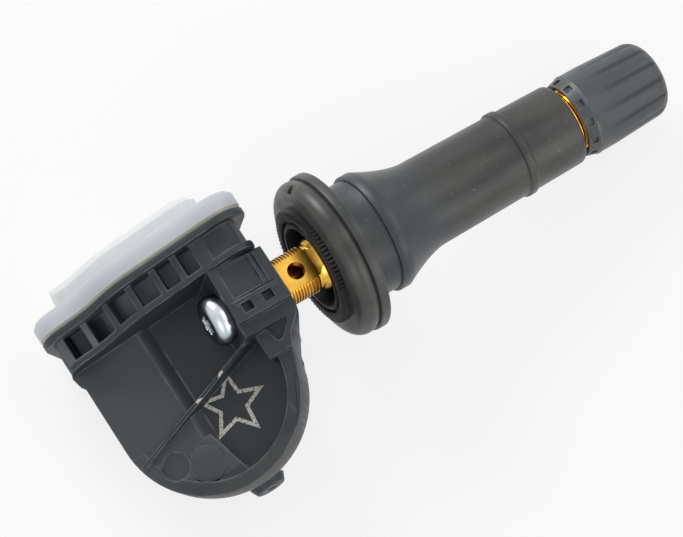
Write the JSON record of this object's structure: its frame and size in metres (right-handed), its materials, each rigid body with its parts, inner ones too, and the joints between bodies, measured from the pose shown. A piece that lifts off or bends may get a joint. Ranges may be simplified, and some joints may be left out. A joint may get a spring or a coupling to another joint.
{
  "type": "tyre pressure sensor",
  "caption": "Snap-in rubber tyre valve with a brass stem and screw-on cap, carrying a ribbed plastic sensor case with a domed translucent lid.",
  "frame": {"origin": "on the valve axis, in the face of the rubber flange that seats on the wheel rim", "axes": "+X along the valve axis towards the cap, +Y towards the lid of the case, +Z out of the open tray that holds the screw"},
  "size_m": [0.0745, 0.0311, 0.0289],
  "materials": {
    "case_plastic": "fine-grained glass-filled nylon",
    "lid_plastic": "milky translucent natural nylon",
    "board": "solder mask",
    "cell_steel": "plated steel can",
    "tab_metal": "nickel strip",
    "chip_black": "moulded package",
    "chip_tan": "ceramic",
    "seal_rubber": "soft rubber",
    "copper": "bare copper",
    "zinc_screw": "bright zinc plate",
    "brass": "turned brass",
    "valve_rubber": "moulded rubber with a soft sheen",
    "core_gasket": "soft rubber",
    "spring_steel": "spring wire",
    "cap_plastic": "satin moulded plastic"
  },
  "bodies": {
    "root": {"housing": "case_plastic", "lid": "lid_plastic", "circuit_board": "board", "coin_cell": "cell_steel", "cell_tab_plus": "tab_metal", "cell_tab_minus": "tab_metal", "sensor_chip": "chip_black", "port_seal": "seal_rubber", "wake_coil": "copper", "radio_antenna": "copper", "crystal": "cell_steel", "chip_capacitors": "chip_tan", "stem_screw": "zinc_screw", "valve_stem": "brass", "valve_rubber": "valve_rubber", "core_barrel": "brass", "core_gasket": "core_gasket", "core_spring": "spring_steel"},
    "pin": {"core_pin": "brass", "core_plunger_seal": "seal_rubber"},
    "seal": {"cap_seal": "seal_rubber"},
    "cap": {"cap": "cap_plastic"}
  },
  "joints": [
    {"name": "core_press", "type": "slide", "parent": "root", "child": "pin", "axis": [1, 0, 0], "range_m": [-0.0012, 0], "stiffness_N_per_m": 200, "springref_m": 0.003, "deforming": ["core_spring"]},
    {"name": "cap_travel", "type": "slide", "parent": "root", "child": "seal", "axis": [1, 0, 0], "range_m": [0, 0.0103]},
    {"name": "cap_turn", "type": "hinge", "parent": "seal", "child": "cap", "pos_m": [0.036, 0, 0], "axis": [1, 0, 0], "range_deg": [0, 4680]}
  ],
  "couplings": [
    {"joint": "cap_turn", "follows": "cap_travel", "rad_per_m": 7913.3}
  ]
}
